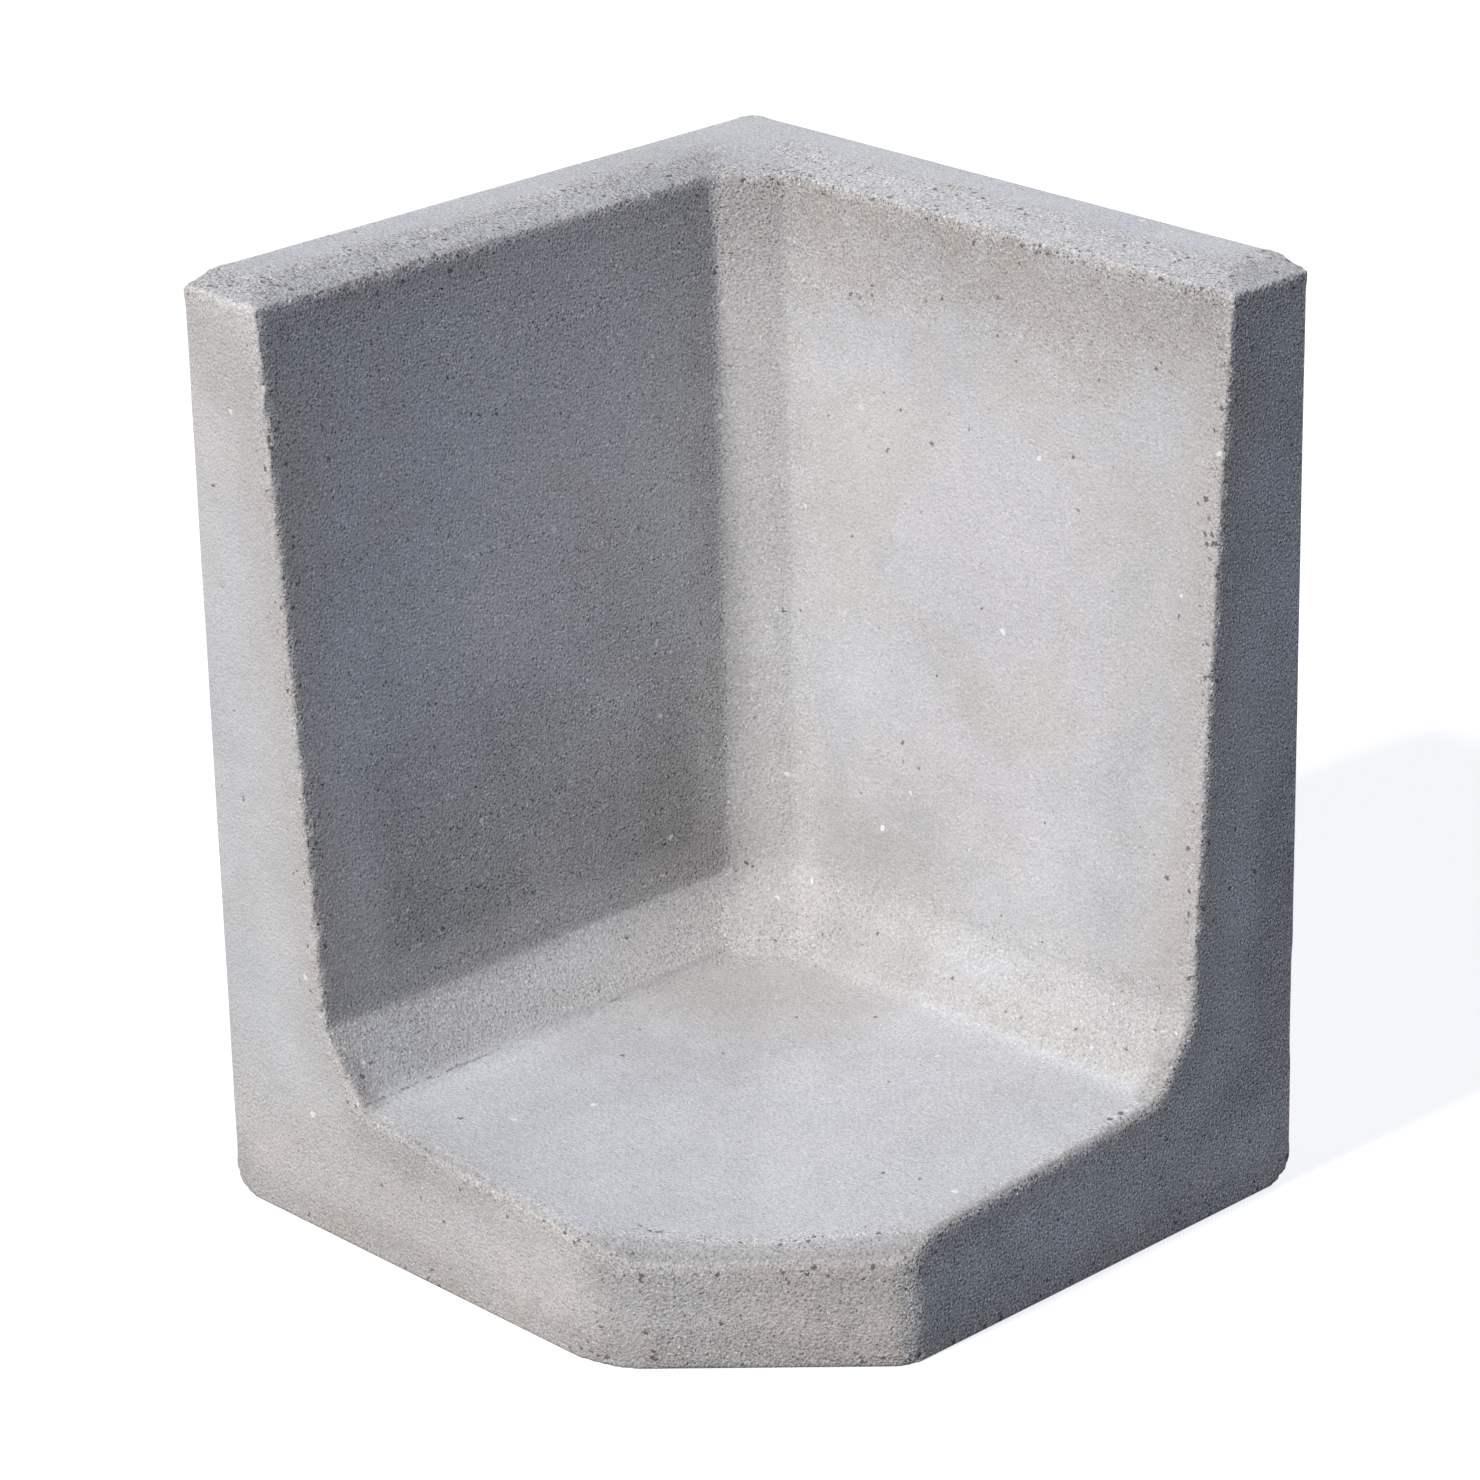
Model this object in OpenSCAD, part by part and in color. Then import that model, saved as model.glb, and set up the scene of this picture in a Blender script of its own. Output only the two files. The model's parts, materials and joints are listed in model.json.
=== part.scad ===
// Ninety-degree corner element of an L-shaped retaining wall series.
//
// Two equal walls stand at a right angle on one square foot whose front
// corner is cut off. Everything is cast in one piece of fine concrete.
//
// Axes: +Z is up. One wall has its outer face on -X and runs along Y, the
// other has its outer face on +Y and runs along X. The fill rests on the foot,
// inside the angle. The origin is on the ground, at the middle of the square
// that the element takes up.

/* [Element] */
// Length of each wall along its outer face
wall_length = 390; // [330:1:490]
// Height from the ground to the top of the walls
element_height = 500; // [400:1:700]
// Radius of the upright outer edge where the two walls meet
outer_edge_radius = 10; // [4:1:20]
// Radius of the bottom edge under each outer face
bottom_edge_radius = 15; // [5:1:25]

/* [Walls] */
// Wall thickness at the top, before its edge is bevelled
wall_top_thickness = 57; // [45:1:70]
// Wall thickness at the head of the haunch
wall_root_thickness = 81; // [72:1:95]
// Width of the shallow bevel along the top inner edges
inner_bevel_width = 22; // [8:1:30]
// Width of the shallow bevel across the top of each wall's end
end_bevel_width = 20; // [8:1:30]
// Fall of both bevels
bevel_fall = 6; // [3:1:10]
// Leg of the upright strip that cuts across the inner corner
strip_leg = 27; // [15:1:40]

/* [Foot] */
// Height at which a wall turns into its haunch
haunch_head_height = 118; // [105:1:140]
// Distance from the outer face to the toe of the haunch
haunch_toe_distance = 106; // [98:1:125]
// Foot thickness at the toe of the haunch
foot_root_thickness = 81; // [70:1:95]
// Foot thickness at the far side of the square
foot_tip_thickness = 60; // [50:1:68]
// Radius of the hollow between the haunch and the foot
haunch_toe_radius = 12; // [5:1:25]

/* [Front corner] */
// Leg of the 45 degree cut across the front corner
front_cut_leg = 106; // [80:1:120]
// Radius of the upright edge between the cut and the left wall's end face
left_front_radius = 60; // [10:1:75]
// Radius of the upright edge between the cut and the right wall's end face
right_front_radius = 26; // [10:1:75]
// Leg of the bevel along the top of the cut
front_bevel_leg = 6; // [3:1:12]

/* [Hidden] */

$fn = 96;
// How far every cutting shape reaches past the body
over = 20;
half_length = wall_length / 2;
reach = wall_length + over;
ceiling = element_height + over;

function unit(v) = v / norm(v);

// Wall thickness at a height, on the straight batter of the inner face
batter = (wall_root_thickness - wall_top_thickness) / (element_height - haunch_head_height);
function wall_thickness(z) = wall_top_thickness + batter * (element_height - z);

// Foot thickness at a distance from the outer face that the foot falls from
foot_fall = (foot_root_thickness - foot_tip_thickness) / (wall_length - haunch_toe_distance);
function foot_thickness(d) = foot_root_thickness - foot_fall * (d - haunch_toe_distance);

// Points of a wall's inner side as [distance from the outer face, height]
bevel_toe_height = element_height - bevel_fall;
bevel_head = [wall_top_thickness - inner_bevel_width, element_height];
bevel_toe = [wall_thickness(bevel_toe_height), bevel_toe_height];
haunch_head = [wall_root_thickness, haunch_head_height];
haunch_toe = [haunch_toe_distance, foot_root_thickness];
foot_end = [reach, foot_thickness(reach)];

// The hollow at the toe of the haunch touches the haunch and the foot
along_haunch = unit(haunch_head - haunch_toe);
along_foot = unit(foot_end - haunch_toe);
toe_half_angle = acos(along_haunch * along_foot) / 2;
toe_tangent = haunch_toe_radius / tan(toe_half_angle);
toe_centre = haunch_toe
    + unit(along_haunch + along_foot) * haunch_toe_radius / sin(toe_half_angle);

// The haunch carried on below the ground, for the cut across the inner corner
buried_haunch = haunch_toe - along_haunch * (foot_root_thickness + over) / along_haunch[1];

// The same points on the strip's section, measured from the outer corner
// along the diagonal
function on_diagonal(point) = [(2 * point[0] + strip_leg) / sqrt(2), point[1]];

// The front cut starts and ends this far from the middle lines, and each
// rounded edge takes up one turn on both sides of that
cut_end = half_length - front_cut_leg;
left_turn = left_front_radius * tan(45 / 2);
right_turn = right_front_radius * tan(45 / 2);
cut_distance = (2 * wall_length - front_cut_leg) / sqrt(2);
cut_height = foot_thickness(wall_length - front_cut_leg / 2);

// Outline of the element on the ground
module ground_outline() {
    polygon([
        [-half_length, half_length],
        [-half_length, -half_length],
        [cut_end - left_turn, -half_length],
        [cut_end + left_turn / sqrt(2), -half_length + left_turn / sqrt(2)],
        [half_length - right_turn / sqrt(2), -cut_end - right_turn / sqrt(2)],
        [half_length, -cut_end + right_turn],
        [half_length, half_length]
    ]);
    translate([cut_end - left_turn, left_front_radius - half_length])
        circle(r = left_front_radius);
    translate([half_length - right_front_radius, right_turn - cut_end])
        circle(r = right_front_radius);
}

// The sections below have X as the distance from an outer face, and Y as the
// height. This one is the clear space in front of a wall and above its foot
module wall_space() {
    polygon([
        [bevel_head[0], ceiling],
        bevel_head,
        bevel_toe,
        haunch_head,
        haunch_toe + along_haunch * toe_tangent,
        haunch_toe + along_foot * toe_tangent,
        foot_end,
        [reach, ceiling]
    ]);
    translate(toe_centre) circle(r = haunch_toe_radius);
}

// Clear space in front of the strip, which has no foot of its own
module strip_space() {
    polygon([
        [on_diagonal(bevel_head)[0], ceiling],
        on_diagonal(bevel_head),
        on_diagonal(bevel_toe),
        on_diagonal(haunch_head),
        on_diagonal(buried_haunch),
        [2 * reach, -over],
        [2 * reach, ceiling]
    ]);
}

// What comes off the top of the wall that ends at the far side of the square
module end_bevel_waste() {
    polygon([
        [wall_length - end_bevel_width, ceiling],
        [wall_length - end_bevel_width, element_height],
        [reach, element_height - bevel_fall * (1 + over / end_bevel_width)],
        [reach, ceiling]
    ]);
}

// What comes off a square edge at the origin to leave it round
module round_edge_waste(radius) {
    difference() {
        translate([-over, -over]) square(radius + over);
        translate([radius, radius]) circle(r = radius);
    }
}

// What comes off the top edge of the front cut
module front_bevel_waste() {
    polygon([
        [cut_distance - front_bevel_leg - over, cut_height + over],
        [cut_distance + over, cut_height - front_bevel_leg - over],
        [cut_distance + over, cut_height + over]
    ]);
}

// Runs a section along the wall whose outer face is on -X
module along_left_wall() {
    translate([-half_length, half_length + over, 0])
        rotate([90, 0, 0])
            linear_extrude(wall_length + 2 * over)
                children();
}

// Runs a section along the wall whose outer face is on +Y
module along_right_wall() {
    mirror([1, 1, 0]) along_left_wall() children();
}

// Runs a section across the diagonal, measured from the outer corner
module across_diagonal() {
    translate([-half_length, half_length, 0])
        rotate([0, 0, -45])
            rotate([90, 0, 0])
                linear_extrude(2 * reach, center = true)
                    children();
}

// The space inside the angle: above the foot and in front of both walls
module inner_space() {
    intersection() {
        along_left_wall() wall_space();
        along_right_wall() wall_space();
        across_diagonal() strip_space();
    }
}

module corner_element() {
    color([0.74, 0.73, 0.72])
        difference() {
            linear_extrude(element_height) ground_outline();
            inner_space();
            along_left_wall() end_bevel_waste();
            along_right_wall() end_bevel_waste();
            along_left_wall() round_edge_waste(bottom_edge_radius);
            along_right_wall() round_edge_waste(bottom_edge_radius);
            translate([-half_length, half_length, -over])
                rotate([0, 0, -90])
                    linear_extrude(ceiling + over) round_edge_waste(outer_edge_radius);
            across_diagonal() front_bevel_waste();
        }
}

corner_element();
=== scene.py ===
"""Corner element of a retaining wall series, cast in one piece of fine concrete.

The cast body keeps the shape of its fixed solid and gains what casting gives
it: softened arrises, a slightly wavy face, crumbled rims, pits and the coarse
sand that shows where the cement skin has worn away.
"""

import json
import logging
import math
from dataclasses import dataclass
from enum import Enum
from functools import cached_property
from typing import Any, Mapping, Optional, Union

import bmesh
import bpy
from mathutils import Matrix, Vector

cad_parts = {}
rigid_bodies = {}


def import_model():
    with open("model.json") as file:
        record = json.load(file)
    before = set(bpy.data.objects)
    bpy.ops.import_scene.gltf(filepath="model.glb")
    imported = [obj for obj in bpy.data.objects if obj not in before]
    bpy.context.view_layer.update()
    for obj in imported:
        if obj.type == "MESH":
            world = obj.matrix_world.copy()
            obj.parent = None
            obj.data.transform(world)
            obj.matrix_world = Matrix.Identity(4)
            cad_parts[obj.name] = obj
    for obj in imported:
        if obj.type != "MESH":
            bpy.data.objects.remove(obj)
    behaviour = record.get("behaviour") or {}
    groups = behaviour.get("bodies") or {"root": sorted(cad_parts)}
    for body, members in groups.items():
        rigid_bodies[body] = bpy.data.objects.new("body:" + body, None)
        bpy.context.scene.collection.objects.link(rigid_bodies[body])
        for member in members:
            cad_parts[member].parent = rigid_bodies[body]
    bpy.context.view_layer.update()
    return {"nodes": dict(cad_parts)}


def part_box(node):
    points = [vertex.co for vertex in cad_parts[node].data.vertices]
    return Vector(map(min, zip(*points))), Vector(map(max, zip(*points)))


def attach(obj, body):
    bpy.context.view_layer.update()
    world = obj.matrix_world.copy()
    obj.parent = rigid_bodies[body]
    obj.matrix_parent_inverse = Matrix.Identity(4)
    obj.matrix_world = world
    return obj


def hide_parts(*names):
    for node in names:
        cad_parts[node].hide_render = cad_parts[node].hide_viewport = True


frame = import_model()

Colour = tuple[float, float, float, float]
Key = Union[int, str]

log = logging.getLogger("corner_element")


class Arris(Enum):
    """Which way the faces on both sides of an edge turn."""

    RIM = 1
    HOLLOW = -1


class Flow:
    """A value that flows through a node tree, combined with Python operators."""

    def __init__(self, bench: "Bench", socket: bpy.types.NodeSocket) -> None:
        """Keeps the socket that the value comes out of.

        Args:
            bench: The node tree that the socket belongs to.
            socket: The output socket.
        """
        self.bench = bench
        self.socket = socket

    def _math(self, operation: str, *values: "Flow | float") -> "Flow":
        """Joins values in one Math node.

        Args:
            operation: The Math node's operation.
            values: What goes into its sockets, in order.

        Returns:
            The result.
        """
        return self.bench.node("ShaderNodeMath", {"operation": operation}, dict(enumerate(values)))

    def __add__(self, other: "Flow | float") -> "Flow":
        """Adds another value."""
        return self._math("ADD", self, other)

    def __radd__(self, other: float) -> "Flow":
        """Adds this value to a number."""
        return self._math("ADD", other, self)

    def __sub__(self, other: "Flow | float") -> "Flow":
        """Takes another value away."""
        return self._math("SUBTRACT", self, other)

    def __rsub__(self, other: float) -> "Flow":
        """Takes this value away from a number."""
        return self._math("SUBTRACT", other, self)

    def __mul__(self, other: "Flow | float") -> "Flow":
        """Multiplies by another value."""
        return self._math("MULTIPLY", self, other)

    def __rmul__(self, other: float) -> "Flow":
        """Multiplies a number by this value."""
        return self._math("MULTIPLY", other, self)

    def __truediv__(self, other: "Flow | float") -> "Flow":
        """Divides by another value."""
        return self._math("DIVIDE", self, other)

    def highest(self, other: "Flow | float") -> "Flow":
        """Gives the greater of two values."""
        return self._math("MAXIMUM", self, other)

    def lowest(self, other: "Flow | float") -> "Flow":
        """Gives the smaller of two values."""
        return self._math("MINIMUM", self, other)

    def ramp(self, start: float, end: float, low: float = 0.0, high: float = 1.0) -> "Flow":
        """Eases from one level to another while this value goes from start to end.

        Args:
            start: The value at which the result is low.
            end: The value at which the result is high.
            low: The first level.
            high: The second level.

        Returns:
            The eased level, held between the two.
        """
        if start > end:
            start, end, low, high = end, start, high, low
        values = {0: self, 1: start, 2: end, 3: low, 4: high}
        return self.bench.node("ShaderNodeMapRange", {"interpolation_type": "SMOOTHSTEP"}, values)

    def vector(self, operation: str, other: Any = None, **sockets: Any) -> "Flow":
        """Joins this vector and another in one Vector Math node.

        Args:
            operation: The Vector Math node's operation.
            other: The second vector, where the operation has one.
            sockets: Further sockets by name.

        Returns:
            The result.
        """
        values: dict[Key, Any] = {0: self, **sockets}
        if other is not None:
            values[1] = other
        output = "Value" if operation in ("LENGTH", "DOT_PRODUCT", "DISTANCE") else "Vector"
        return self.bench.node("ShaderNodeVectorMath", {"operation": operation}, values, output)

    def part(self, axis: str) -> "Flow":
        """Gives one component of this vector."""
        return self.bench.node("ShaderNodeSeparateXYZ", None, {0: self}, axis)

    def beside(self, output: Key) -> "Flow":
        """Gives another output of the node that this value comes from."""
        return Flow(self.bench, self.bench.pick(self.socket.node.outputs, output))


@dataclass
class Bench:
    """A node tree on which nodes are laid out by short calls."""

    tree: bpy.types.NodeTree

    @staticmethod
    def pick(sockets: Any, key: Key) -> bpy.types.NodeSocket:
        """Finds a socket.

        Args:
            sockets: A node's inputs or outputs.
            key: Its number, or the name of the one in use.

        Returns:
            The socket.
        """
        if isinstance(key, int):
            return sockets[key]
        return next(socket for socket in sockets if socket.enabled and socket.name == key)

    def node(
        self,
        kind: str,
        settings: Optional[Mapping[str, Any]] = None,
        values: Optional[Mapping[Key, Any]] = None,
        output: Key = 0,
    ) -> Flow:
        """Adds a node.

        Args:
            kind: The node's type.
            settings: Its properties, set before its sockets.
            values: A value or a flow for each of its sockets in use.
            output: The output that is wanted.

        Returns:
            That output.
        """
        made = self.tree.nodes.new(kind)
        for name, setting in (settings or {}).items():
            setattr(made, name, setting)
        for key, value in (values or {}).items():
            socket = self.pick(made.inputs, key)
            if isinstance(value, Flow):
                self.tree.links.new(value.socket, socket)
            else:
                socket.default_value = value
        return Flow(self, self.pick(made.outputs, output))

    def noise(self, place: Flow, size: float, detail: float = 2.0, roughness: float = 0.5) -> Flow:
        """Adds a cloudy pattern between 0 and 1, with 0.5 as its mean.

        Args:
            place: Where the pattern is read, in metres.
            size: Size of its clouds, in metres.
            detail: How many finer layers it has.
            roughness: How strong they are.

        Returns:
            The pattern.
        """
        values = {"Vector": place, "Scale": 1.0 / size, "Detail": detail, "Roughness": roughness}
        return self.node("ShaderNodeTexNoise", {"noise_dimensions": "3D"}, values)

    def cells(self, place: Flow, size: float) -> tuple[Flow, Flow]:
        """Adds a pattern of rounded cells.

        Args:
            place: Where the pattern is read, in metres.
            size: Size of a cell, in metres.

        Returns:
            Distance from the nearest cell's middle in cell sizes, and that cell's own colour.
        """
        settings = {"voronoi_dimensions": "3D", "feature": "F1"}
        values = {"Vector": place, "Scale": 1.0 / size}
        away = self.node("ShaderNodeTexVoronoi", settings, values, "Distance")
        return away, away.beside("Color")

    def blend(self, share: "Flow | float", first: Any, second: Any, kind: str = "MIX") -> Flow:
        """Mixes two colours.

        Args:
            share: How much of the second shows.
            first: The first colour.
            second: The second colour.
            kind: The way in which they mix.

        Returns:
            The mixed colour.
        """
        settings = {"data_type": "RGBA", "blend_type": kind, "clamp_factor": True}
        return self.node("ShaderNodeMix", settings, {"Factor": share, "A": first, "B": second}, "Result")


class Recipe(Bench):
    """A Geometry Nodes tree whose sizes are named inputs."""

    def __init__(self, name: str) -> None:
        """Starts an empty tree.

        Args:
            name: The tree's name.
        """
        super().__init__(bpy.data.node_groups.new(name, "GeometryNodeTree"))
        self.tree.interface.new_socket("Geometry", in_out="INPUT", socket_type="NodeSocketGeometry")
        self.tree.interface.new_socket("Geometry", in_out="OUTPUT", socket_type="NodeSocketGeometry")
        self.inputs = self.tree.nodes.new("NodeGroupInput")
        self.place = self.node("GeometryNodeInputPosition")
        self.settings: dict[str, Any] = {}

    @property
    def mesh(self) -> Flow:
        """The mesh that the tree works on."""
        return Flow(self, self.inputs.outputs["Geometry"])

    def size(self, name: str, value: Any, kind: str = "NodeSocketFloat") -> Flow:
        """Adds a named input.

        Args:
            name: What it is called.
            value: What the modifier sets it to.
            kind: Its socket type.

        Returns:
            The input's value.
        """
        socket = self.tree.interface.new_socket(name, in_out="INPUT", socket_type=kind)
        self.settings[socket.identifier] = value
        return Flow(self, self.inputs.outputs[name])

    def keep(self, mesh: Flow, name: str, value: Flow, domain: str = "POINT") -> Flow:
        """Keeps a value on a mesh under a name.

        Args:
            mesh: The mesh.
            name: The value's name.
            value: The value.
            domain: What carries it.

        Returns:
            The mesh with the value.
        """
        settings = {"data_type": "FLOAT", "domain": domain}
        values = {"Geometry": mesh, "Name": name, "Value": value}
        return self.node("GeometryNodeStoreNamedAttribute", settings, values)

    def kept(self, name: str) -> Flow:
        """Reads back a value that was kept under a name."""
        settings = {"data_type": "FLOAT"}
        return self.node("GeometryNodeInputNamedAttribute", settings, {"Name": name}, "Attribute")

    def move(self, mesh: Flow, **where: Flow) -> Flow:
        """Moves each point of a mesh to a Position or by an Offset."""
        return self.node("GeometryNodeSetPosition", None, {"Geometry": mesh, **where})

    def hold(self, mesh: Flow, low: Vector, high: Vector) -> Flow:
        """Pushes what reaches past a box back onto its sides.

        Args:
            mesh: The mesh.
            low: The box's lowest corner.
            high: Its highest corner.

        Returns:
            The mesh inside the box.
        """
        lowest = self.size("Lowest corner", low, "NodeSocketVector")
        highest = self.size("Highest corner", high, "NodeSocketVector")
        held = self.place.vector("MAXIMUM", lowest).vector("MINIMUM", highest)
        return self.move(mesh, Position=held)

    def finish(self, mesh: Flow, material: bpy.types.Material) -> None:
        """Ends the tree with real geometry and its finish.

        Args:
            mesh: What the tree has made.
            material: The finish it wears.
        """
        wanted = self.size("Finish", material, "NodeSocketMaterial")
        real = self.node("GeometryNodeRealizeInstances", None, {"Geometry": mesh})
        worn = self.node("GeometryNodeSetMaterial", None, {"Geometry": real, "Material": wanted})
        end = self.tree.nodes.new("NodeGroupOutput")
        self.tree.links.new(worn.socket, end.inputs["Geometry"])

    def apply(self, piece: bpy.types.Object) -> None:
        """Runs the tree on a piece and keeps the result as its plain mesh.

        Args:
            piece: The object, changed in place.
        """
        modifier = piece.modifiers.new(self.tree.name, "NODES")
        modifier.node_group = self.tree
        for identifier, value in self.settings.items():
            modifier[identifier] = value
        settle(piece)


def settle(piece: bpy.types.Object) -> None:
    """Turns a piece with its modifiers into a plain mesh without them.

    Args:
        piece: The object, changed in place.
    """
    graph = bpy.context.evaluated_depsgraph_get()
    graph.update()
    result = piece.evaluated_get(graph)
    made = bpy.data.meshes.new_from_object(result, preserve_all_data_layers=True, depsgraph=graph)
    spent = piece.data
    piece.modifiers.clear()
    piece.data = made
    made.name = piece.name
    if not spent.users:
        bpy.data.meshes.remove(spent)


def new_piece(name: str, mesh: bpy.types.Mesh) -> bpy.types.Object:
    """Puts a mesh into the scene as an object at the origin.

    Args:
        name: The object's name.
        mesh: Its mesh.

    Returns:
        The object.
    """
    piece = bpy.data.objects.new(name, mesh)
    bpy.context.scene.collection.objects.link(piece)
    return piece


def triangles(piece: bpy.types.Object) -> int:
    """Counts the triangles of a piece's mesh."""
    return sum(len(face.vertices) - 2 for face in piece.data.polygons)


def fresh_material(name: str) -> tuple[bpy.types.Material, Bench, bpy.types.Node]:
    """Starts a material with an empty surface.

    Args:
        name: The material's name.

    Returns:
        The material, its bench and its Principled node.
    """
    material = bpy.data.materials.new(name)
    material.use_nodes = True
    shader = material.node_tree.nodes["Principled BSDF"]
    return material, Bench(material.node_tree), shader


@dataclass
class CastFace:
    """What the concrete's finish goes by at each spot of the cast face.

    Distances and heights are in metres. Every other value runs from 0 to 1,
    and a noise has 0.5 as its mean.
    """

    bench: Bench
    low: Vector
    high: Vector
    cloud_size: float = 0.110
    patch_size: float = 0.034
    fleck_size: float = 0.0045
    sand_size: float = 0.0015
    sand_detail: tuple[float, float] = (2.0, 0.75)
    top_band: float = 0.095
    foot_stain_end: float = 0.13
    foot_stain_full: float = 0.04
    inner_corner: tuple[float, float, float] = (-0.085, 0.085, 0.085)
    smudge_place: tuple[float, float, float] = (-0.168, -0.195, 0.462)

    def __post_init__(self) -> None:
        """Reads the place, what the body keeps on its points, and the noises."""
        bench = self.bench
        self.place = bench.node("ShaderNodeTexCoord", output="Object")
        self.x = self.place.part("X")
        self.y = self.place.part("Y")
        self.z = self.place.part("Z")
        self.rim = self._kept("rim")
        self.hollow = self._kept("hollow")
        self.skyward = self._kept("skyward")
        self.bevel = self._kept("bevel")
        self.slant = self._kept("slant")
        self.joint = self._kept("joint")
        self.lee = self._kept("lee")
        self.grazed = self._kept("grazed")
        self.haunch = self._kept("haunch")
        self.diagonal = self._kept("diagonal")
        self.pit = self._kept("pit")
        self.cloud = bench.noise(self.place, self.cloud_size, 3.0, 0.55)
        self.tint = self.cloud.beside("Color").part("Y")
        self.age = self.cloud.beside("Color").part("Z")
        self.patch = bench.noise(self.place, self.patch_size, 4.0, 0.60)
        self.fleck = bench.noise(self.place, self.fleck_size, 2.0, 0.60)
        self.sand = bench.noise(self.place, self.sand_size, *self.sand_detail)

    def _kept(self, name: str) -> Flow:
        """Reads a value that the body keeps on its points."""
        return self.bench.node("ShaderNodeAttribute", {"attribute_name": name}, output="Fac")

    @cached_property
    def drift(self) -> Flow:
        """A few millimetres to and fro, for edges that wander."""
        return (self.patch - 0.5) * 0.05

    @cached_property
    def wander(self) -> Flow:
        """A few centimetres to and fro, for broad clouds."""
        return self.cloud - 0.5

    @cached_property
    def height(self) -> Flow:
        """Height above the ground, with a wandering edge."""
        return self.z + self.wander * 0.12 + self.drift

    @cached_property
    def left_inner(self) -> Flow:
        """The inner face of the left wall."""
        return self.lee * (1.0 - self.joint)

    @cached_property
    def right_end(self) -> Flow:
        """The end face of the right wall, down to the ground."""
        return self.lee * self.joint

    @cached_property
    def left_end(self) -> Flow:
        """The end face of the left wall, down to the ground."""
        return self.joint * (1.0 - self.lee)

    @cached_property
    def worn(self) -> Flow:
        """Where the cement skin has worn off a rim."""
        return self.rim.ramp(0.015, 0.004) * self.patch.ramp(0.30, 0.52)

    @cached_property
    def top(self) -> Flow:
        """The weathered band along the top."""
        return self.height.ramp(self.high.z - self.top_band, self.high.z - self.top_band * 0.35)

    @cached_property
    def side(self) -> Flow:
        """The foot's upright sides."""
        low = self.low.z
        stained = self.height.ramp(low + self.foot_stain_end, low + self.foot_stain_full)
        return stained * (1.0 - self.skyward)

    @cached_property
    def border(self) -> Flow:
        """A sandy border on flat tops, along their rims."""
        return (self.rim + (self.fleck - 0.5) * 0.006).ramp(0.0115, 0.0085) * self.skyward

    @cached_property
    def pitted(self) -> Flow:
        """The bevels, most of all the left wall's."""
        return self.bevel * self.x.ramp(-0.080, -0.115, 0.30, 1.0)

    @cached_property
    def near_rim(self) -> Flow:
        """The stained strip beside a rim."""
        return (self.rim + self.drift).ramp(0.036, 0.004) * 0.80

    @cached_property
    def band(self) -> Flow:
        """The darker band under the rim of the foot's sides."""
        return self.side * (self.rim + self.drift).ramp(0.034, 0.012)

    @cached_property
    def stain(self) -> Flow:
        """Where rain and handling have stained the faces."""
        stain = self.top * (1.0 - 0.6 * self.lee) * (self.rim + self.drift).ramp(0.060, 0.010, 0.65, 1.0)
        stain = stain.highest(self.side * 0.70).highest(self.band) * (1.0 - 0.5 * self.right_end)
        return stain.highest(self.near_rim) * (1.0 - 0.9 * self.skyward)

    @cached_property
    def from_corner(self) -> Flow:
        """Distance from the bottom of the inner corner, with a wandering edge."""
        return self.place.vector("DISTANCE", self.inner_corner) + self.wander * 0.12 + self.drift

    @cached_property
    def smudge(self) -> Flow:
        """A brown smudge near the top of the left wall's end."""
        away = self.place.vector("DISTANCE", self.smudge_place)
        return (away + self.wander * 0.04 + self.drift * 0.5).ramp(0.036, 0.010)

    @cached_property
    def across(self) -> Flow:
        """Distance along the diagonal, from the inner corner to the front cut."""
        return self.x - self.y

    @cached_property
    def front(self) -> Flow:
        """The face of the front cut."""
        return self.diagonal * self.across.ramp(0.20, 0.25)

    @cached_property
    def strip(self) -> Flow:
        """The strip across the inner corner."""
        return self.diagonal * self.across.ramp(-0.15, -0.19)


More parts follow.
